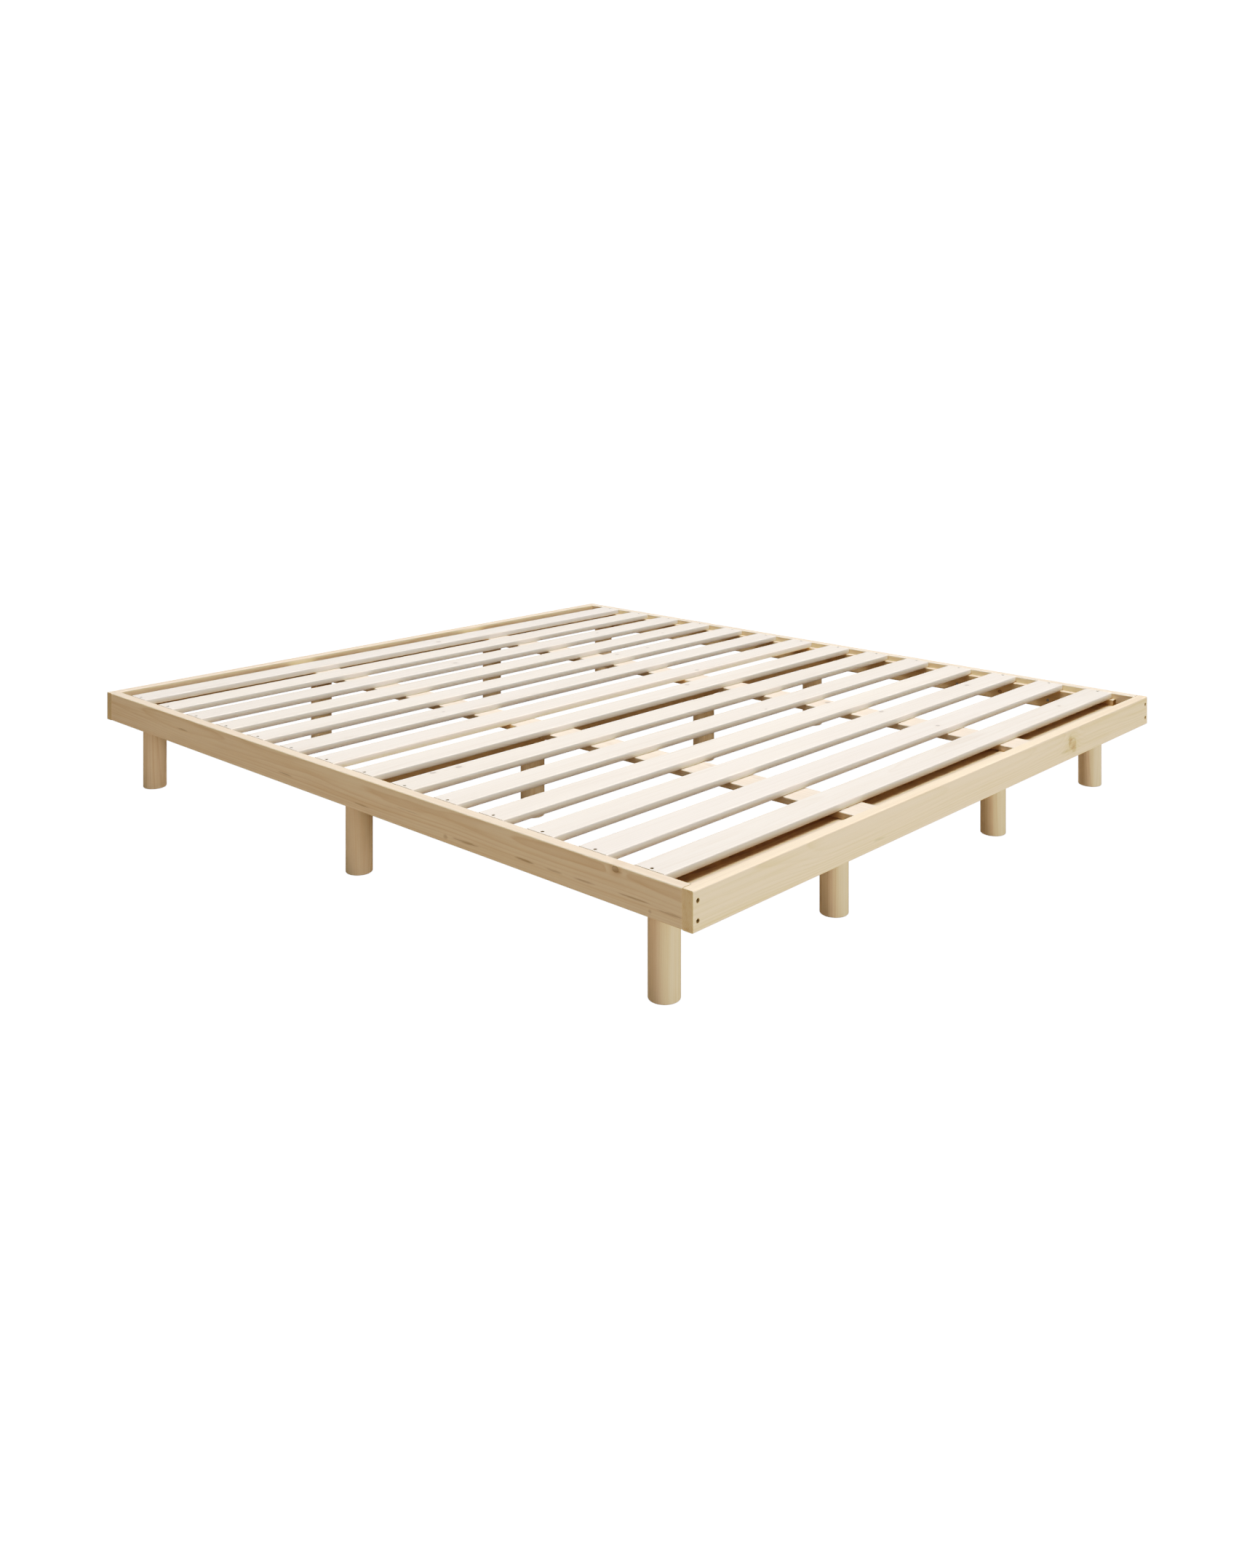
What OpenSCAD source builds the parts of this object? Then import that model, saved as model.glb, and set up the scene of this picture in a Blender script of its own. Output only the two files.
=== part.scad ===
// Low slatted bed frame in solid pine.
// Four rails stand round a deck of fourteen cross slats. The slats lie on a
// ledger along each side and on two flat lengthwise beams. The beams lie on
// three flat cross boards, and each cross board stands on four turned legs.
//
// Millimetres. +X is across the bed, +Y runs from the foot to the head, +Z up.
// The origin is on the floor, under the middle of the bed.

/* [Frame] */
// Outside length, from the foot rail's face to the head rail's face
bed_length = 2000; // [1920:10:2100]
// Outside width, over the two side rails
bed_width = 1800; // [1600:10:1900]
// Height from the floor to the top of the rails and slats
bed_height = 235; // [200:5:320]
// Height of all four rails
rail_h = 70; // [66:1:90]
// Thickness of all four rails
rail_t = 24; // [20:1:28]
// Radius on the long edges of the rails
rail_r = 2.5; // [1.5:0.5:5]

/* [Slats] */
// Width of one slat
slat_w = 70; // [60:1:80]
// Thickness of one slat
slat_t = 15; // [14:1:20]
// Distance from one slat to the next, centre to centre
slat_pitch = 135.6; // [120:0.2:137]
// Radius on the long edges of the slats
slat_r = 2; // [1:0.5:3]
// Gap between a slat's end and the side rail
slat_end_gap = 0.5; // [0.5:0.5:4]

/* [Side ledgers] */
// Thickness of the ledger that carries the slat ends
ledger_t = 15; // [14:1:20]
// Height of that ledger
ledger_h = 48; // [40:1:50]

/* [Lengthwise beams] */
// Width of one flat beam
beam_w = 80; // [70:1:90]
// Thickness of one flat beam
beam_t = 15; // [14:1:18]
// Distance of each beam's centre line from the middle of the bed
beam_x = 322; // [280:1:360]
// Gap between a beam's end and the foot or head rail
beam_end_gap = 1; // [0.5:0.5:3]

/* [Cross boards] */
// Width of one cross board
board_w = 100; // [90:1:110]
// Thickness of one cross board
board_t = 15; // [15:1:18]
// Distance of the outer cross boards' centre lines from the middle of the bed
board_y = 877; // [850:1:885]

/* [Legs] */
// Diameter of one leg
leg_d = 58; // [50:1:64]
// Radius on the leg's foot
leg_foot_r = 3; // [1:0.5:6]
// Radius on the leg's top edge
leg_top_r = 1; // [0.5:0.5:2]

/* [Fasteners] */
// Head diameter of the corner screws
corner_head_d = 8.5; // [8:0.5:9]
// Length of the corner screws
corner_screw_l = 70; // [60:5:80]
// Distance between the two screws of a corner
corner_screw_gap = 33.5; // [30:0.5:40]
// Head diameter of the other wood screws
screw_head_d = 7.5; // [7:0.5:8]
// Diameter of the leg bolts
bolt_d = 8; // [6:1:8]
// How deep a leg bolt sits in its leg
bolt_in_leg = 45; // [35:5:60]

/* [Hidden] */
$fn = 48;
e = 0.01; // overshoot of a cutting tool

// Levels, from the top down
z_top = bed_height;
z_deck = z_top - slat_t;          // under the slats, on the ledgers and beams
z_board = z_deck - beam_t;        // under the beams, on the cross boards
z_leg = z_board - board_t;        // under the cross boards, on the legs
z_rail = z_top - rail_h;          // under the rails
z_ledger = z_deck - ledger_h;     // under the ledgers
end_r = 1;                        // eased edge of a rail's sawn end

// Plan positions
half_l = bed_length / 2;
half_w = bed_width / 2;
in_x = half_w - rail_t;           // inner faces of the side rails
in_y = half_l - rail_t;           // inner faces of the foot and head rails
ledger_x = in_x - ledger_t;       // inner faces of the ledgers
ledger_y = board_y + board_w / 2; // ends of the ledgers
leg_x = ledger_x - leg_d / 2;     // outer legs touch the ledgers
slat_x = in_x - slat_end_gap;     // ends of the slats
beam_y = in_y - beam_end_gap;     // ends of the beams
slat_count = 14;
leg_columns = [-leg_x, -beam_x, beam_x, leg_x];
board_rows = [-board_y, 0, board_y];

// Fasteners
corner_x = half_w - rail_t / 2;
corner_z = z_rail + rail_h / 2;
corner_d = 4.5;
screw_d = 4;
sink = 0.5;                       // how far a screw head sits under the face
corner_sink = 1.3;                // the same for the corner screws
slat_screw_x = (in_x + ledger_x) / 2;
slat_screw_l = slat_t + 20;
ledger_screw_z = z_ledger + 18;
ledger_screw_rows = [1, 3, 5, 8, 10, 12];
board_screw_z = z_leg + board_t / 2;
board_screw_dy = 20;
beam_screw_dx = 29;
beam_screw_dy = 38;
nut_flange_d = 22;
nut_flange_t = 1.6;
nut_barrel_d = bolt_d + 2;
nut_barrel_l = 11;

pine = [0.93, 0.85, 0.71];
pine_pale = [0.96, 0.91, 0.83];
pine_deep = [0.88, 0.78, 0.62];
yellow_zinc = [0.74, 0.66, 0.50];
zinc = [0.78, 0.79, 0.80];

function slat_y(i) = (i - (slat_count - 1) / 2) * slat_pitch;

// ---------------------------------------------------------------- shapes

// Rectangle w wide and h high about the origin, with rounded corners
module round_rect(w, h, r) {
    square([w - 2 * r, h], center = true);
    square([w, h - 2 * r], center = true);
    for (x = [-1, 1], y = [-1, 1])
        translate([x * (w / 2 - r), y * (h / 2 - r)]) circle(r);
}

// Plank along X: its section is in Y and Z, with the long edges rounded
module plank_x(len, w, h, r) {
    rotate([90, 0, 90]) linear_extrude(len, center = true) round_rect(w, h, r);
}

// Plank along Y: its section is in X and Z, with the long edges rounded
module plank_y(len, w, h, r) {
    rotate([90, 0, 0]) linear_extrude(len, center = true) round_rect(w, h, r);
}

// Countersunk wood screw: the head's face is at z = 0 and it points down
module wood_screw(len, d, head_d) {
    cone = (head_d - d) / 2;
    difference() {
        rotate_extrude() polygon([
            [0, 0], [head_d / 2, 0], [head_d / 2, -0.4], [d / 2, -0.4 - cone],
            [d / 2, -len + d], [0, -len]
        ]);
        cross_recess(head_d);
    }
}

// Cross recess in a screw head
module cross_recess(head_d) {
    for (a = [0, 90]) rotate([0, 0, a])
        translate([-head_d * 0.28, -head_d * 0.06, -head_d * 0.22])
            cube([head_d * 0.56, head_d * 0.12, head_d * 0.22 + e]);
}

// The hole for a countersunk screw: a straight bore and a conical sinking,
// from the face at z = 0 downwards
module screw_hole(depth, d, head_d, sunk = sink) {
    cone = (head_d - d) / 2;
    rotate_extrude() polygon([
        [0, e], [head_d / 2, e], [head_d / 2, -sunk - 0.4],
        [d / 2, -sunk - 0.4 - cone], [d / 2, -depth], [0, -depth]
    ]);
}

// ---------------------------------------------------------------- rails

module side_rail(side) {
    color(pine) difference() {
        translate([side * (half_w - rail_t / 2), 0, corner_z])
            plank_y(2 * in_y, rail_t, rail_h, rail_r);
        // pilot holes for the corner screws, in the end grain
        for (y = [-1, 1], z = [-1, 1])
            translate([side * corner_x, y * (half_l - corner_screw_l - 1),
                       corner_z + z * corner_screw_gap / 2])
                rotate([-90 * y, 0, 0])
                    cylinder(h = corner_screw_l, d = corner_d);
        // pilot holes for the ledger screws
        for (i = ledger_screw_rows)
            translate([side * (in_x - e), slat_y(i), ledger_screw_z])
                rotate([0, side * 90, 0]) cylinder(h = 15 + e, d = screw_d);
    }
}

module end_rail(side) {
    color(pine) difference() {
        intersection() {
            translate([0, side * (half_l - rail_t / 2), corner_z])
                plank_x(bed_width, rail_t, rail_h, rail_r);
            // sawn ends, eased on the outer face only
            translate([0, side * (half_l - rail_t / 2), z_rail - 1])
                linear_extrude(rail_h + 2) {
                    round_rect(bed_width, rail_t, end_r);
                    translate([0, -side * rail_t / 4])
                        square([bed_width, rail_t / 2], center = true);
                }
        }
        for (x = [-1, 1], z = [-1, 1])
            translate([x * corner_x, side * half_l,
                       corner_z + z * corner_screw_gap / 2])
                rotate([-90 * side, 0, 0])
                    screw_hole(rail_t + 1, corner_d, corner_head_d, corner_sink);
    }
}

module side_rail_left() { side_rail(-1); }
module side_rail_right() { side_rail(1); }
module foot_rail() { end_rail(-1); }
module head_rail() { end_rail(1); }

// ---------------------------------------------------------------- ledgers

module slat_ledger(side) {
    color(pine_deep) difference() {
        translate([side * (in_x - ledger_t / 2), 0, z_deck - ledger_h / 2])
            plank_y(2 * ledger_y, ledger_t, ledger_h, 1.5);
        // pilot holes for the slat screws
        for (i = [0 : slat_count - 1])
            translate([side * slat_screw_x, slat_y(i), z_deck - 20])
                cylinder(h = 20 + e, d = screw_d);
        // screws into the side rail, from the inner face
        for (i = ledger_screw_rows)
            translate([side * ledger_x, slat_y(i), ledger_screw_z])
                rotate([0, -side * 90, 0])
                    screw_hole(ledger_t + 1, screw_d, screw_head_d);
        // screws into the cross boards' ends, from the outer face
        for (y = board_rows, dy = [-1, 1])
            translate([side * in_x, y + dy * board_screw_dy, board_screw_z])
                rotate([0, side * 90, 0])
                    screw_hole(ledger_t + 1, screw_d, screw_head_d);
    }
}

module slat_ledger_left() { slat_ledger(-1); }
module slat_ledger_right() { slat_ledger(1); }

// ---------------------------------------------------------------- beams

module centre_beam(side) {
    color(pine) difference() {
        translate([side * beam_x, 0, z_deck - beam_t / 2])
            plank_y(2 * beam_y, beam_w, beam_t, 2);
        // pilot holes for the screws that come up through the cross boards
        for (y = board_rows, k = [-1, 1])
            translate([side * (beam_x + k * beam_screw_dx),
                       y + k * beam_screw_dy, z_board - e])
                cylinder(h = 10 + e, d = screw_d);
    }
}

module centre_beam_left() { centre_beam(-1); }
module centre_beam_right() { centre_beam(1); }

// ---------------------------------------------------------------- boards

module cross_board(row) {
    color(pine_deep) difference() {
        translate([0, row, z_board - board_t / 2])
            plank_x(2 * ledger_x, board_w, board_t, 1.5);
        // seats of the tee nuts, sunk in the top, and the bolts' holes
        for (x = leg_columns) translate([x, row, 0]) {
            translate([0, 0, z_leg - 1])
                cylinder(h = board_t + 2, d = nut_barrel_d);
            translate([0, 0, z_board - nut_flange_t])
                cylinder(h = nut_flange_t + 1, d = nut_flange_d);
        }
        // screws up into the beams
        for (s = [-1, 1], k = [-1, 1])
            translate([s * (beam_x + k * beam_screw_dx),
                       row + k * beam_screw_dy, z_leg])
                rotate([180, 0, 0])
                    screw_hole(board_t + 1, screw_d, screw_head_d);
        // pilot holes in the ends, for the screws from the ledgers
        for (s = [-1, 1], dy = [-1, 1])
            translate([s * (ledger_x + e), row + dy * board_screw_dy,
                       board_screw_z])
                rotate([0, -s * 90, 0]) cylinder(h = 35 + e, d = screw_d);
    }
}

module cross_board_foot() { cross_board(-board_y); }
module cross_board_middle() { cross_board(0); }
module cross_board_head() { cross_board(board_y); }

// ---------------------------------------------------------------- slats

// Slat i, counted from 0 at the foot
module slat(i) {
    color(pine_pale) difference() {
        translate([0, slat_y(i), z_top - slat_t / 2])
            plank_x(2 * slat_x, slat_w, slat_t, slat_r);
        for (s = [-1, 1])
            translate([s * slat_screw_x, slat_y(i), z_top])
                screw_hole(slat_t + 1, screw_d, screw_head_d);
    }
}

// ---------------------------------------------------------------- legs

// Leg in a column (1 to 4, from the left) of a row
module leg(column, row) {
    color(pine) translate([leg_columns[column - 1], row, 0]) difference() {
        rotate_extrude() {
            translate([0, leg_foot_r])
                square([leg_d / 2, z_leg - leg_foot_r - leg_top_r]);
            square([leg_d / 2 - leg_foot_r, leg_foot_r + 1]);
            translate([0, z_leg - leg_top_r - 1])
                square([leg_d / 2 - leg_top_r, leg_top_r + 1]);
            translate([leg_d / 2 - leg_foot_r, leg_foot_r])
                circle(leg_foot_r);
            translate([leg_d / 2 - leg_top_r, z_leg - leg_top_r])
                circle(leg_top_r);
        }
        translate([0, 0, z_leg - bolt_in_leg])
            cylinder(h = bolt_in_leg + 1, d = bolt_d);
    }
}

// ---------------------------------------------------------------- fasteners

module corner_screws() {
    color(yellow_zinc)
        for (x = [-1, 1], y = [-1, 1], z = [-1, 1])
            translate([x * corner_x, y * (half_l - corner_sink),
                       corner_z + z * corner_screw_gap / 2])
                rotate([-90 * y, 0, 0])
                    wood_screw(corner_screw_l, corner_d, corner_head_d);
}

module slat_screws() {
    color(yellow_zinc)
        for (i = [0 : slat_count - 1], s = [-1, 1])
            translate([s * slat_screw_x, slat_y(i), z_top - sink])
                rotate([0, 0, 20 + i * 37])
                    wood_screw(slat_screw_l - 1, screw_d, screw_head_d);
}

module ledger_screws() {
    color(zinc)
        for (i = ledger_screw_rows, s = [-1, 1])
            translate([s * (ledger_x + sink), slat_y(i), ledger_screw_z])
                rotate([0, -s * 90, 0])
                    wood_screw(29, screw_d, screw_head_d);
}

module board_end_screws() {
    color(zinc)
        for (y = board_rows, dy = [-1, 1], s = [-1, 1])
            translate([s * (in_x - sink), y + dy * board_screw_dy,
                       board_screw_z])
                rotate([0, s * 90, 0])
                    wood_screw(49, screw_d, screw_head_d);
}

module beam_screws() {
    color(zinc)
        for (y = board_rows, s = [-1, 1], k = [-1, 1])
            translate([s * (beam_x + k * beam_screw_dx), y + k * beam_screw_dy,
                       z_leg + sink])
                rotate([180, 0, 0])
                    wood_screw(board_t + 9, screw_d, screw_head_d);
}

// Leg bolts: wood thread in the leg, machine thread in the tee nut
module leg_bolts() {
    color(zinc)
        for (x = leg_columns, y = board_rows)
            translate([x, y, z_leg - bolt_in_leg])
                cylinder(h = bolt_in_leg + board_t - 1, d = bolt_d);
}

// Tee nuts, pressed into the top of the cross boards
module leg_tee_nuts() {
    color(zinc)
        for (x = leg_columns, y = board_rows)
            translate([x, y, z_board]) difference() {
                union() {
                    translate([0, 0, -nut_flange_t])
                        cylinder(h = nut_flange_t, d = nut_flange_d);
                    translate([0, 0, -nut_flange_t - nut_barrel_l])
                        cylinder(h = nut_barrel_l + e, d = nut_barrel_d);
                }
                translate([0, 0, -board_t])
                    cylinder(h = board_t + 1, d = bolt_d);
            }
}

side_rail_left();
side_rail_right();
foot_rail();
head_rail();
slat_ledger_left();
slat_ledger_right();
centre_beam_left();
centre_beam_right();
cross_board_foot();
cross_board_middle();
cross_board_head();
slat(0);  // slat_01
slat(1);  // slat_02
slat(2);  // slat_03
slat(3);  // slat_04
slat(4);  // slat_05
slat(5);  // slat_06
slat(6);  // slat_07
slat(7);  // slat_08
slat(8);  // slat_09
slat(9);  // slat_10
slat(10);  // slat_11
slat(11);  // slat_12
slat(12);  // slat_13
slat(13);  // slat_14
leg(1, -board_y);  // leg_foot_1
leg(2, -board_y);  // leg_foot_2
leg(3, -board_y);  // leg_foot_3
leg(4, -board_y);  // leg_foot_4
leg(1, 0);  // leg_middle_1
leg(2, 0);  // leg_middle_2
leg(3, 0);  // leg_middle_3
leg(4, 0);  // leg_middle_4
leg(1, board_y);  // leg_head_1
leg(2, board_y);  // leg_head_2
leg(3, board_y);  // leg_head_3
leg(4, board_y);  // leg_head_4
corner_screws();
slat_screws();
ledger_screws();
board_end_screws();
beam_screws();
leg_bolts();
leg_tee_nuts();
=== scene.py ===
import math
import random

import bpy
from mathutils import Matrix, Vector


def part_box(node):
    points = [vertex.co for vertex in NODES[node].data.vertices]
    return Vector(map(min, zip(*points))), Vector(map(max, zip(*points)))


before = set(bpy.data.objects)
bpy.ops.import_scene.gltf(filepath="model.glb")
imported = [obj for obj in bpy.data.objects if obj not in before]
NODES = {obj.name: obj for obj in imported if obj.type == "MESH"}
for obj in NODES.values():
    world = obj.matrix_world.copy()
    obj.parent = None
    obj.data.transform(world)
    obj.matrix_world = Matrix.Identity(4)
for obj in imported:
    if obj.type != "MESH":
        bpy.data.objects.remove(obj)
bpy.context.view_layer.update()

scene = bpy.context.scene


def srgb(r, g, b):
    """A linear colour from 0-255 display values."""
    def lin(c):
        c /= 255.0
        return c / 12.92 if c <= 0.04045 else ((c + 0.055) / 1.055) ** 2.4
    return (lin(r), lin(g), lin(b), 1.0)


# ------------------------------------------------------------------ node helpers

class Tree:
    """Short calls for building a node tree."""

    def __init__(self, tree):
        self.t = tree

    def add(self, kind, **settings):
        n = self.t.nodes.new(kind)
        for k, v in settings.items():
            setattr(n, k, v)
        return n

    def put(self, socket, value):
        if isinstance(value, bpy.types.NodeSocket):
            self.t.links.new(value, socket)
        else:
            socket.default_value = value

    def math(self, op, a, b=0.0, c=0.0, clamp=False):
        n = self.add("ShaderNodeMath", operation=op, use_clamp=clamp)
        self.put(n.inputs[0], a)
        self.put(n.inputs[1], b)
        self.put(n.inputs[2], c)
        return n.outputs[0]

    def vec(self, op, a, b=(0.0, 0.0, 0.0)):
        n = self.add("ShaderNodeVectorMath", operation=op)
        self.put(n.inputs[0], a)
        self.put(n.inputs[1], b)
        return n.outputs["Value"] if op in ("LENGTH", "DOT_PRODUCT", "DISTANCE") else n.outputs["Vector"]

    def xyz(self, v):
        n = self.add("ShaderNodeSeparateXYZ")
        self.put(n.inputs[0], v)
        return n.outputs[0], n.outputs[1], n.outputs[2]

    def combine(self, x, y, z):
        n = self.add("ShaderNodeCombineXYZ")
        self.put(n.inputs[0], x)
        self.put(n.inputs[1], y)
        self.put(n.inputs[2], z)
        return n.outputs[0]

    def noise(self, vector, w, scale=1.0, detail=2.0, rough=0.5):
        n = self.add("ShaderNodeTexNoise", noise_dimensions="4D")
        self.put(n.inputs["Vector"], vector)
        self.put(n.inputs["W"], w)
        n.inputs["Scale"].default_value = scale
        n.inputs["Detail"].default_value = detail
        n.inputs["Roughness"].default_value = rough
        return n.outputs["Fac"]

    def smooth(self, x, lo, hi, a=0.0, b=1.0):
        n = self.add("ShaderNodeMapRange", interpolation_type="SMOOTHSTEP")
        self.put(n.inputs["Value"], x)
        self.put(n.inputs["From Min"], lo)
        self.put(n.inputs["From Max"], hi)
        self.put(n.inputs["To Min"], a)
        self.put(n.inputs["To Max"], b)
        return n.outputs["Result"]

    def ramp(self, x, stops):
        n = self.add("ShaderNodeValToRGB")
        e = n.color_ramp.elements
        e[0].position, e[0].color = stops[0][0], (stops[0][1],) * 3 + (1.0,)
        e[1].position, e[1].color = stops[-1][0], (stops[-1][1],) * 3 + (1.0,)
        for p, v in stops[1:-1]:
            e.new(p).color = (v, v, v, 1.0)
        self.put(n.inputs[0], x)
        return n.outputs["Color"]

    def mix(self, f, a, b, blend="MIX"):
        n = self.add("ShaderNodeMix", data_type="RGBA", blend_type=blend)
        n.clamp_factor = True
        self.put(n.inputs[0], f)
        self.put(n.inputs[6], a)
        self.put(n.inputs[7], b)
        return n.outputs[2]

    def hsv(self, colour, hue=0.5, sat=1.0, val=1.0):
        n = self.add("ShaderNodeHueSaturation")
        self.put(n.inputs["Hue"], hue)
        self.put(n.inputs["Saturation"], sat)
        self.put(n.inputs["Value"], val)
        self.put(n.inputs["Color"], colour)
        return n.outputs[0]


# ------------------------------------------------------------------ pine

def make_pine_group():
    """Solid pine. P is the place in the plank in metres: x along the grain, y and z across it."""
    g = bpy.data.node_groups.new("PineSolid", "ShaderNodeTree")
    sock = g.interface.new_socket
    for name, kind in (
        ("P", "NodeSocketVector"), ("EndGrain", "NodeSocketFloat"), ("Edge", "NodeSocketFloat"),
        ("Pith", "NodeSocketVector"), ("Seed", "NodeSocketFloat"), ("Ring", "NodeSocketFloat"),
        ("RingStrength", "NodeSocketFloat"), ("Knot1", "NodeSocketVector"), ("Knot2", "NodeSocketVector"),
        ("Knot3", "NodeSocketVector"), ("KnotTone", "NodeSocketFloat"),
        ("Early", "NodeSocketColor"), ("Late", "NodeSocketColor"), ("KnotColor", "NodeSocketColor"),
    ):
        sock(name=name, in_out="INPUT", socket_type=kind)
    sock(name="Color", in_out="OUTPUT", socket_type="NodeSocketColor")
    sock(name="Roughness", in_out="OUTPUT", socket_type="NodeSocketFloat")
    sock(name="Height", in_out="OUTPUT", socket_type="NodeSocketFloat")
    t = Tree(g)
    gi, go = t.add("NodeGroupInput"), t.add("NodeGroupOutput")
    P, seed = gi.outputs["P"], gi.outputs["Seed"]

    # the log: distance from the pith, wavering slowly along the plank
    sway = t.noise(t.vec("MULTIPLY", P, (1.1, 7.0, 7.0)), seed, 1.0, 2.0, 0.45)
    sway = t.math("MULTIPLY", t.math("SUBTRACT", sway, 0.5), 0.034)
    ripple = t.noise(t.vec("MULTIPLY", P, (9.0, 60.0, 60.0)), seed, 1.0, 2.0, 0.5)
    ripple = t.math("MULTIPLY", t.math("SUBTRACT", ripple, 0.5), 0.0018)
    px, py, pz = t.xyz(P)
    ax, ay, az = t.xyz(gi.outputs["Pith"])
    dy, dz = t.math("SUBTRACT", py, ay), t.math("SUBTRACT", pz, az)
    r = t.math("SQRT", t.math("ADD", t.math("MULTIPLY", dy, dy), t.math("MULTIPLY", dz, dz)))
    r = t.math("ADD", r, t.math("MULTIPLY", px, ax))   # taper of the log
    r = t.math("ADD", t.math("ADD", r, sway), ripple)

    # knots: the rings flow round them
    knot_in, knot_rim, knot_far = None, None, None
    for name in ("Knot1", "Knot2", "Knot3"):
        kx, ky, kr = t.xyz(gi.outputs[name])
        qx = t.math("DIVIDE", t.math("SUBTRACT", px, kx), t.math("MULTIPLY", kr, 1.35))
        qy = t.math("DIVIDE", t.math("SUBTRACT", py, ky), kr)
        wob = t.math("MULTIPLY", t.math("SUBTRACT", t.noise(t.vec("MULTIPLY", P, (110.0, 110.0, 40.0)), seed, 1.0, 1.0), 0.5), 0.7)
        d = t.math("ADD", t.math("SQRT", t.math("ADD", t.math("MULTIPLY", qx, qx), t.math("MULTIPLY", qy, qy))), wob)
        lx = t.math("MULTIPLY", qx, 0.42)
        near = t.math("EXPONENT", t.math("MULTIPLY", t.math("ADD", t.math("MULTIPLY", lx, lx), t.math("MULTIPLY", t.math("MULTIPLY", qy, qy), 0.22)), -1.0))
        r = t.math("ADD", r, t.math("MULTIPLY", t.math("MULTIPLY", near, kr), 0.95))
        inside = t.smooth(d, 1.12, 0.88)
        rim = t.math("MULTIPLY", t.smooth(d, 0.62, 0.98), t.smooth(d, 1.32, 1.02))
        halo = t.smooth(d, 3.4, 0.9)
        rings = t.math("MULTIPLY", t.math("ADD", t.math("SINE", t.math("MULTIPLY", d, 17.0)), 1.0), 0.5)
        core = t.math("MULTIPLY", inside, t.math("ADD", t.math("MULTIPLY", rings, 0.35), 0.62))
        knot_in = core if knot_in is None else t.math("MAXIMUM", knot_in, core)
        knot_rim = rim if knot_rim is None else t.math("MAXIMUM", knot_rim, rim)
        knot_far = halo if knot_far is None else t.math("MAXIMUM", knot_far, halo)

    # growth rings: pale early wood that darkens to a thin late-wood line
    f = t.math("FRACT", t.math("DIVIDE", r, gi.outputs["Ring"]))
    ring = t.ramp(f, [(0.0, 0.10), (0.12, 0.0), (0.55, 0.14), (0.80, 0.62), (0.91, 1.0), (1.0, 0.10)])
    patch = t.noise(t.vec("MULTIPLY", P, (1.6, 26.0, 26.0)), t.math("ADD", seed, 7.3), 1.0, 2.0, 0.55)
    patch = t.smooth(patch, 0.30, 0.72, 0.30, 1.0)
    ring = t.math("MULTIPLY", t.math("MULTIPLY", ring, patch), gi.outputs["RingStrength"])

    fibre = t.noise(t.vec("MULTIPLY", P, (16.0, 950.0, 950.0)), t.math("ADD", seed, 3.1), 1.0, 2.0, 0.6)
    streak = t.noise(t.vec("MULTIPLY", P, (2.6, 150.0, 150.0)), t.math("ADD", seed, 11.7), 1.0, 3.0, 0.6)
    cloud = t.noise(t.vec("MULTIPLY", P, (1.3, 6.0, 6.0)), t.math("ADD", seed, 19.9), 1.0, 2.0, 0.5)
    pores = t.noise(t.vec("MULTIPLY", P, (70.0, 2100.0, 2100.0)), t.math("ADD", seed, 31.3), 1.0, 1.0, 0.5)
    pore = t.smooth(pores, 0.66, 0.78)   # resin ducts, short dark dashes

    col = t.mix(ring, gi.outputs["Early"], gi.outputs["Late"])
    col = t.mix(t.math("MULTIPLY", t.smooth(streak, 0.42, 0.78), 0.30), col, gi.outputs["Late"])
    col = t.mix(t.math("MULTIPLY", knot_far, 0.26), col, gi.outputs["Late"])
    col = t.mix(t.math("MULTIPLY", t.math("MULTIPLY", knot_in, gi.outputs["KnotTone"]), 1.0), col, gi.outputs["KnotColor"])
    col = t.mix(t.math("MULTIPLY", t.math("MULTIPLY", knot_rim, gi.outputs["KnotTone"]), 0.75), col, t.hsv(gi.outputs["KnotColor"], 0.5, 1.05, 0.62))
    col = t.mix(t.math("MULTIPLY", pore, 0.16), col, t.hsv(gi.outputs["Late"], 0.5, 1.0, 0.70))
    val = t.math("ADD", 0.965, t.math("MULTIPLY", fibre, 0.07))
    val = t.math("MULTIPLY", val, t.math("ADD", 0.955, t.math("MULTIPLY", cloud, 0.09)))
    # end faces darker and browner as end grain; where EndGrain runs above 1 (the ledgers) the extra darkening is
    # painted shade
    val = t.math("MULTIPLY", val, t.math("SUBTRACT", 1.0, t.math("MULTIPLY", gi.outputs["EndGrain"], 0.20)))
    # rounded edges made a little lighter: a painted highlight along the arrises
    val = t.math("MULTIPLY", val, t.math("ADD", 1.0, t.math("MULTIPLY", gi.outputs["Edge"], 0.035)))
    hue = t.math("ADD", 0.4955, t.math("MULTIPLY", cloud, 0.009))
    sat = t.math("ADD", t.math("ADD", 0.95, t.math("MULTIPLY", gi.outputs["EndGrain"], 0.18)), t.math("MULTIPLY", streak, 0.10))
    col = t.hsv(col, hue, sat, val)

    rough = t.math("ADD", 0.50, t.math("MULTIPLY", fibre, 0.10))
    rough = t.math("SUBTRACT", rough, t.math("MULTIPLY", ring, 0.10))
    rough = t.math("SUBTRACT", rough, t.math("MULTIPLY", knot_in, 0.14))
    rough = t.math("ADD", rough, t.math("MULTIPLY", gi.outputs["EndGrain"], 0.22))
    rough = t.math("SUBTRACT", rough, t.math("MULTIPLY", gi.outputs["Edge"], 0.06))

    h = t.math("ADD", t.math("MULTIPLY", ring, 0.55), t.math("MULTIPLY", fibre, 0.40))
    h = t.math("SUBTRACT", h, t.math("MULTIPLY", pore, 0.35))
    h = t.math("ADD", h, t.math("MULTIPLY", knot_in, 0.60))
    h = t.math("ADD", h, t.math("MULTIPLY", t.noise(t.vec("MULTIPLY", P, (7.0, 24.0, 24.0)), t.math("ADD", seed, 43.0), 1.0, 2.0), 0.5))

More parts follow.
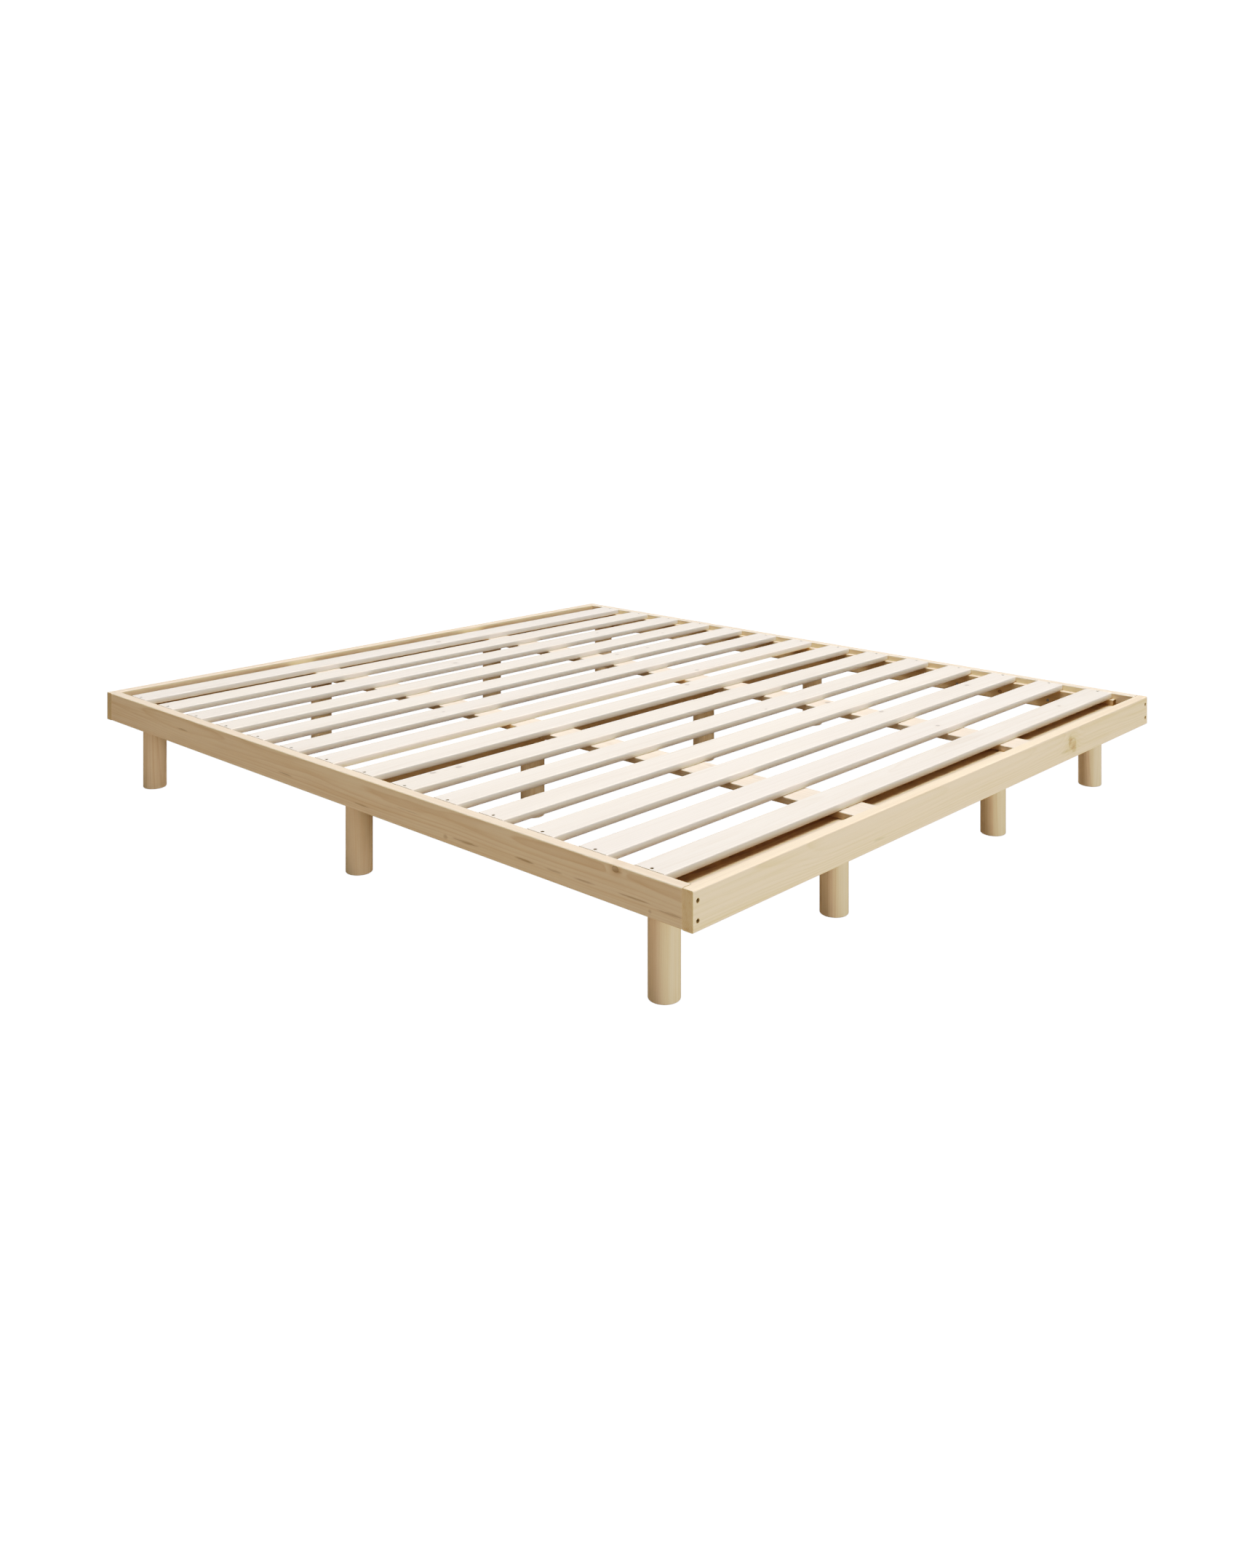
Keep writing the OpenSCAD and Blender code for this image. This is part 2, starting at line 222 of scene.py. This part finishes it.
    t.put(go.inputs["Color"], col)
    t.put(go.inputs["Roughness"], rough)
    t.put(go.inputs["Height"], h)
    return g


PINE = make_pine_group()
FAR = (50.0, 50.0, 0.01)


def pine_material(name, axis, centre, half, seed, early, late, knot=(110, 66, 34), ring=0.0032,
                  strength=0.6, pith=None, knots=(), knot_tone=0.7, round_piece=False, upright=False, end_tone=1.0,
                  bump=0.22, streaks=()):
    """Pine for one plank or leg. axis is the grain's direction, half its half sizes in grain order.
    A streak is (along, across, half length, half height, tone)."""
    rnd = random.Random(seed)
    m = bpy.data.materials.new(name)
    m.use_nodes = True
    nt = m.node_tree
    nt.nodes.clear()
    t = Tree(nt)
    out, bsdf = t.add("ShaderNodeOutputMaterial"), t.add("ShaderNodeBsdfPrincipled")
    nt.links.new(bsdf.outputs[0], out.inputs[0])
    tc = t.add("ShaderNodeTexCoord")
    x, y, z = t.xyz(t.vec("SUBTRACT", tc.outputs["Object"], tuple(centre)))
    nx, ny, nz = t.xyz(tc.outputs["Normal"])
    if axis == "x":
        P, along, q = t.combine(x, y, z), nx, (x, y, z)
    elif axis == "y":
        P, along, q = t.combine(y, x, z), ny, (y, x, z)
    else:
        P, along, q = t.combine(z, x, y), nz, (z, x, y)
    if upright:   # a rail stands on its narrow edge
        q = (q[0], q[2], q[1])
        half = (half[0], half[2], half[1])
        P = t.combine(*q)
    end = t.smooth(t.math("ABSOLUTE", along), 0.80, 0.96, 0.0, end_tone)
    gaps = [t.math("SUBTRACT", float(h), t.math("ABSOLUTE", c)) for c, h in zip(q, half)]
    if round_piece:
        radial = t.math("SUBTRACT", float(half[1]), t.math("SQRT", t.math("ADD", t.math("MULTIPLY", q[1], q[1]), t.math("MULTIPLY", q[2], q[2]))))
        edge = t.smooth(t.math("MAXIMUM", gaps[0], radial), 0.005, 0.0008)
    else:
        long_edge = t.math("MAXIMUM", gaps[1], gaps[2])
        end_edge = t.math("MAXIMUM", gaps[0], t.math("MINIMUM", gaps[1], gaps[2]))
        edge = t.smooth(t.math("MINIMUM", long_edge, end_edge), 0.0045, 0.0008)

    n = t.add("ShaderNodeGroup", node_tree=PINE)
    t.put(n.inputs["P"], P)
    t.put(n.inputs["EndGrain"], end)
    t.put(n.inputs["Edge"], edge)
    if pith is None:
        a = rnd.uniform(-1, 1)
        pith = (rnd.uniform(-0.006, 0.006), 0.05 * a, -rnd.uniform(0.02, 0.075))
    n.inputs["Pith"].default_value = pith
    n.inputs["Seed"].default_value = seed * 1.37
    n.inputs["Ring"].default_value = ring
    n.inputs["RingStrength"].default_value = strength
    ks = list(knots)[:3] + [FAR] * (3 - len(knots))
    for i, k in enumerate(ks):
        n.inputs["Knot%d" % (i + 1)].default_value = k
    n.inputs["KnotTone"].default_value = knot_tone
    n.inputs["Early"].default_value = early
    n.inputs["Late"].default_value = late
    n.inputs["KnotColor"].default_value = srgb(*knot)
    colour = n.outputs["Color"]
    if streaks:   # dark wisps of resin along the grain
        px, py, _ = t.xyz(P)
        wisp = t.noise(t.vec("MULTIPLY", P, (26.0, 420.0, 420.0)), seed * 0.77, 1.0, 3.0, 0.65)
        wisp = t.math("MULTIPLY", t.math("SUBTRACT", wisp, 0.5), 2.4)
        for sx, sy, length, height, tone in streaks:
            u = t.math("DIVIDE", t.math("SUBTRACT", px, sx), length)
            v = t.math("DIVIDE", t.math("SUBTRACT", py, sy), height)
            d = t.math("ADD", t.math("ADD", t.math("MULTIPLY", u, u), t.math("MULTIPLY", v, v)), wisp)
            mask = t.math("MULTIPLY", t.smooth(d, 1.0, -0.2), tone)
            colour = t.mix(mask, colour, srgb(*[c * 0.5 + k * 0.5 for c, k in zip((150, 112, 70), knot)]))
    t.put(bsdf.inputs["Base Color"], colour)
    t.put(bsdf.inputs["Roughness"], n.outputs["Roughness"])
    b = t.add("ShaderNodeBump")
    b.inputs["Strength"].default_value = bump
    b.inputs["Distance"].default_value = 0.0006
    t.put(b.inputs["Height"], n.outputs["Height"])
    t.put(bsdf.inputs["Normal"], b.outputs[0])
    bsdf.inputs["Specular IOR Level"].default_value = 0.42
    return m


def dress(node, material):
    o = NODES[node]
    o.data.materials.clear()
    o.data.materials.append(material)


def centre_half(node, axis):
    lo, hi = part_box(node)
    c, h = (lo + hi) / 2, (hi - lo) / 2
    order = {"x": (0, 1, 2), "y": (1, 0, 2), "z": (2, 0, 1)}[axis]
    return c, [h[i] for i in order]


def tinted(base, rnd, spread=0.03, warm=0.02):
    """The same colour, a little lighter or darker and warmer or cooler."""
    v, w = 1 + rnd.uniform(-spread, spread), rnd.uniform(-warm, warm)
    return (min(1, base[0] * v * (1 + w * 0.3)), base[1] * v, base[2] * v * (1 - w), 1.0)


RAIL_E, RAIL_L = srgb(226, 203, 170), srgb(196, 160, 116)
SLAT_E, SLAT_L = srgb(228, 216, 200), srgb(207, 187, 161)
BEAM_E, BEAM_L = srgb(230, 212, 187), srgb(204, 174, 138)
BOARD_E, BOARD_L = srgb(222, 196, 160), srgb(190, 154, 112)
LEG_E, LEG_L = srgb(226, 202, 168), srgb(196, 160, 118)

rails = {
    # (along, up, radius) of each knot, from the rail's middle
    "side_rail_left": dict(axis="y", seed=11, knots=[(-0.825, 0.028, 0.0050)], knot_tone=0.30,
                           streaks=[(-0.431, -0.019, 0.042, 0.0032, 0.50), (-0.594, -0.0135, 0.032, 0.0032, 0.52), (-0.671, -0.013, 0.028, 0.0026, 0.40),
                                    (-0.371, -0.022, 0.008, 0.0060, 0.30), (-0.905, -0.023, 0.005, 0.0040, 0.25),
                                    (-0.750, -0.012, 0.030, 0.0024, 0.32), (-0.866, -0.011, 0.040, 0.0026, 0.42), (-0.952, -0.016, 0.034, 0.0030, 0.38),
                                    (-0.344, -0.035, 0.034, 0.0030, 0.45), (-0.253, 0.002, 0.045, 0.0012, 0.35), (-0.830, 0.026, 0.014, 0.0060, 0.35),
                                    (-0.10, -0.020, 0.036, 0.0030, 0.45), (0.18, -0.012, 0.040, 0.0028, 0.40), (0.62, 0.006, 0.030, 0.0026, 0.40)]),
    "side_rail_right": dict(axis="y", seed=12, early=srgb(231, 212, 183), late=srgb(200, 167, 126), knots=[(0.42, 0.006, 0.006)], knot_tone=0.5,
                            streaks=[(0.05, -0.012, 0.034, 0.0030, 0.45), (-0.52, 0.010, 0.030, 0.0026, 0.40)]),
    "foot_rail": dict(axis="x", seed=13, early=srgb(233, 210, 173), late=srgb(203, 166, 119), end_tone=0.45,
                      knots=[(0.474, 0.001, 0.0115)], knot_tone=0.18,
                      streaks=[(0.463, 0.010, 0.013, 0.0150, 0.40), (0.482, -0.010, 0.017, 0.0160, 0.38), (0.440, -0.012, 0.030, 0.0050, 0.28),
                               (-0.35, -0.018, 0.030, 0.0024, 0.30)]),
    "head_rail": dict(axis="x", seed=14, knots=[(-0.41, 0.01, 0.006), (0.66, -0.01, 0.004)], knot_tone=0.5,
                      streaks=[(0.12, -0.014, 0.036, 0.0030, 0.40)]),
}
for name, k in rails.items():
    rnd = random.Random(k["seed"])
    c, h = centre_half(name, k["axis"])
    dress(name, pine_material("Pine_" + name, k["axis"], c, h, k["seed"], tinted(k.get("early", RAIL_E), rnd, 0.01, 0.01),
                              tinted(k.get("late", RAIL_L), rnd, 0.01, 0.01),
                              ring=0.0034, strength=0.50, knots=k["knots"], knot_tone=k["knot_tone"],
                              pith=k.get("pith", (0.004, 0.02, -0.06)), upright=True, end_tone=k.get("end_tone", 0.8),
                              streaks=k["streaks"]))

for i in range(1, 15):
    name = "slat_%02d" % i
    rnd = random.Random(100 + i)
    c, h = centre_half(name, "x")
    knots = [(rnd.uniform(-0.8, 0.8), rnd.uniform(-0.03, 0.03), rnd.uniform(0.002, 0.005)) for _ in range(rnd.choice((0, 1, 1, 2)))]
    dress(name, pine_material("Pine_" + name, "x", c, h, 100 + i, tinted(SLAT_E, rnd, 0.025), tinted(SLAT_L, rnd, 0.04),
                              ring=rnd.uniform(0.0024, 0.0040), strength=rnd.uniform(0.32, 0.5), knots=knots, knot_tone=0.5))

for j, (name, axis) in enumerate((
    ("slat_ledger_left", "y"), ("slat_ledger_right", "y"), ("centre_beam_left", "y"), ("centre_beam_right", "y"),
    ("cross_board_foot", "x"), ("cross_board_middle", "x"), ("cross_board_head", "x"),
)):
    rnd = random.Random(200 + j)
    c, h = centre_half(name, axis)
    reach = 0.016 if "ledger" in name else 0.03
    knots = [(rnd.uniform(-0.7, 0.7), rnd.uniform(-reach, reach), rnd.uniform(0.004, 0.007)) for _ in range(2)]
    if name in ("centre_beam_left", "cross_board_foot"):
        knots = []  # clear wood in the front slot
    early, late = (BEAM_E, BEAM_L) if "beam" in name else (BOARD_E, BOARD_L)
    # ledger ends get end_tone 2.0: end grain plus painted shade for the slot the ledger end sits in
    dress(name, pine_material("Pine_" + name, axis, c, h, 200 + j, tinted(early, rnd), tinted(late, rnd),
                              ring=rnd.uniform(0.0026, 0.0042), strength=0.6, knots=knots,
                              knot_tone=0.5, upright="ledger" in name, end_tone=2.0 if "ledger" in name else 1.0))

for j, row in enumerate(("foot", "middle", "head")):
    for col in range(1, 5):
        name = "leg_%s_%d" % (row, col)
        seed = 300 + 10 * j + col
        rnd = random.Random(seed)
        c, h = centre_half(name, "z")
        a, d = rnd.uniform(0, 2 * math.pi), rnd.uniform(0.045, 0.11)
        dress(name, pine_material("Pine_" + name, "z", c, h, seed, tinted(LEG_E, rnd), tinted(LEG_L, rnd),
                                  ring=rnd.uniform(0.0026, 0.0040), strength=0.5,
                                  pith=(0.01, d * math.cos(a), d * math.sin(a)), round_piece=True))


# ------------------------------------------------------------------ metal

def metal(name, colour, dark, rough, scale):
    m = bpy.data.materials.new(name)
    m.use_nodes = True
    nt = m.node_tree
    nt.nodes.clear()
    t = Tree(nt)
    out, bsdf = t.add("ShaderNodeOutputMaterial"), t.add("ShaderNodeBsdfPrincipled")
    nt.links.new(bsdf.outputs[0], out.inputs[0])
    tc = t.add("ShaderNodeTexCoord")
    P = tc.outputs["Object"]
    blotch = t.noise(P, 1.0, scale, 3.0, 0.6)
    scratch = t.noise(t.vec("MULTIPLY", P, (1.0, 1.0, 6.0)), 5.0, scale * 6.0, 2.0, 0.7)
    col = t.mix(t.smooth(blotch, 0.35, 0.70), srgb(*colour), srgb(*dark))
    col = t.mix(t.math("MULTIPLY", t.smooth(scratch, 0.62, 0.80), 0.35), col, srgb(*[min(255, c + 60) for c in colour]))
    t.put(bsdf.inputs["Base Color"], col)
    bsdf.inputs["Metallic"].default_value = 1.0
    t.put(bsdf.inputs["Roughness"], t.math("ADD", rough, t.math("MULTIPLY", blotch, 0.16)))
    b = t.add("ShaderNodeBump")
    b.inputs["Strength"].default_value = 0.12
    b.inputs["Distance"].default_value = 0.0002
    t.put(b.inputs["Height"], scratch)
    t.put(bsdf.inputs["Normal"], b.outputs[0])
    return m


YELLOW = metal("YellowZincSteel", (176, 160, 128), (128, 112, 84), 0.30, 420.0)
ZINC = metal("ZincSteel", (186, 188, 190), (150, 152, 156), 0.28, 260.0)
for name in ("corner_screws", "slat_screws"):
    dress(name, YELLOW)
for name in ("ledger_screws", "board_end_screws", "beam_screws", "leg_bolts", "leg_tee_nuts"):
    dress(name, ZINC)


# ------------------------------------------------------------------ floor, light, camera

BOUNCE = (0.29, 0.245, 0.195)
WORLD, WORLD_COLOUR = 0.30, (1.0, 0.99, 0.965)

def plane(name, size, z):
    me = bpy.data.meshes.new(name)
    s = size / 2
    me.from_pydata([(-s, -s, z), (s, -s, z), (s, s, z), (-s, s, z)], [], [(0, 1, 2, 3)])
    o = bpy.data.objects.new(name, me)
    scene.collection.objects.link(o)
    return o


def plain(name, colour, emission=None):
    m = bpy.data.materials.new(name)
    m.use_nodes = True
    b = m.node_tree.nodes["Principled BSDF"]
    b.inputs["Base Color"].default_value = (*colour, 1.0)
    b.inputs["Roughness"].default_value = 1.0
    b.inputs["Specular IOR Level"].default_value = 0.0
    if emission:
        b.inputs["Emission Color"].default_value = (1.0, 1.0, 1.0, 1.0)
        b.inputs["Emission Strength"].default_value = emission
    return m


def seen_only(o):
    """Seen by the camera, but it lights nothing."""
    o.visible_diffuse = False
    o.visible_glossy = False
    o.visible_transmission = False
    o.visible_shadow = False


# white paper floor and backdrop, and the darker floor that lights the underside
floor = plane("Floor", 70.0, -0.0006)
floor.data.materials.append(plain("FloorPaper", (0.06, 0.06, 0.06), 1.42))
seen_only(floor)

bounce = plane("FloorBounce", 70.0, -0.0012)
bounce.data.materials.append(plain("FloorBounce", BOUNCE))
bounce.visible_camera = False

bpy.ops.mesh.primitive_ico_sphere_add(subdivisions=4, radius=60.0)
backdrop = bpy.context.object
backdrop.name = "Backdrop"
backdrop.data.materials.append(plain("BackdropPaper", (0.0, 0.0, 0.0), 1.6))
seen_only(backdrop)

world = bpy.data.worlds.new("Studio")
scene.world = world
world.use_nodes = True
world.node_tree.nodes["Background"].inputs[0].default_value = (*WORLD_COLOUR, 1.0)
# the room is brighter towards the foot and the right than towards the left
w = Tree(world.node_tree)
way = w.add("ShaderNodeTexCoord").outputs["Generated"]
lean = w.vec("DOT_PRODUCT", w.vec("NORMALIZE", way), (0.50, -0.40, 0.0))
w.put(world.node_tree.nodes["Background"].inputs[1], w.math("MULTIPLY", w.math("ADD", lean, 1.0), WORLD))


def area(name, place, target, size, power, colour=(1.0, 1.0, 1.0), size_y=None):
    l = bpy.data.lights.new(name, "AREA")
    l.shape = "RECTANGLE"
    l.size, l.size_y = size, size_y or size
    l.energy = power
    l.color = colour
    o = bpy.data.objects.new(name, l)
    scene.collection.objects.link(o)
    o.location = place
    o.rotation_euler = (Vector(target) - Vector(place)).to_track_quat("-Z", "Y").to_euler()
    return o


area("KeyOverhead", (0.2, -0.3, 6.5), (0.0, 0.0, 0.2), 3.4, 645.0, (0.97, 1.0, 1.07))
area("FillFoot", (0.3, -6.2, 0.76), (0.0, -1.0, 0.2), 3.2, 184.0, (0.985, 1.0, 1.04), 1.2)
area("FillLeft", (-6.4, -0.6, 0.15), (-0.9, 0.0, 0.15), 3.2, 78.0, (0.97, 0.99, 1.03), 0.26)
area("FillRear", (4.4, 5.0, 0.15), (0.4, 0.6, 0.15), 3.2, 120.0, (1.0, 1.0, 1.0), 0.26)

cam = bpy.data.cameras.new("Camera")
cam.sensor_fit = "AUTO"
cam.sensor_width = 36.0
cam.lens = 32.22
cam.shift_x = 0.0
cam.shift_y = -0.2723
cam.clip_start, cam.clip_end = 0.05, 200.0
camera = bpy.data.objects.new("Camera", cam)
scene.collection.objects.link(camera)
camera.location = (-2.6478, -2.4847, 1.1074)
camera.rotation_euler = (math.pi / 2, 0.0, -math.atan2(0.7311, 0.6823))
scene.camera = camera

scene.view_settings.view_transform = "Standard"
scene.view_settings.look = "None"
scene.view_settings.exposure = 0.0
scene.view_settings.gamma = 1.0
# a photograph's tone curve: a short toe, and a long shoulder up to 1.4 times white
scene.view_settings.use_curve_mapping = True
curves = scene.view_settings.curve_mapping
WHITE = 1.4
curves.white_level = (WHITE, WHITE, WHITE)
tone = curves.curves[3].points
tone[0].location, tone[1].location = (0.0, 0.0), (1.0, 1.0)
for x, y in ((0.04, 0.012), (0.08, 0.040), (0.14, 0.100), (0.25, 0.228), (0.50, 0.50), (0.75, 0.645), (1.05, 0.81)):
    tone.new(x / WHITE, y)
curves.update()
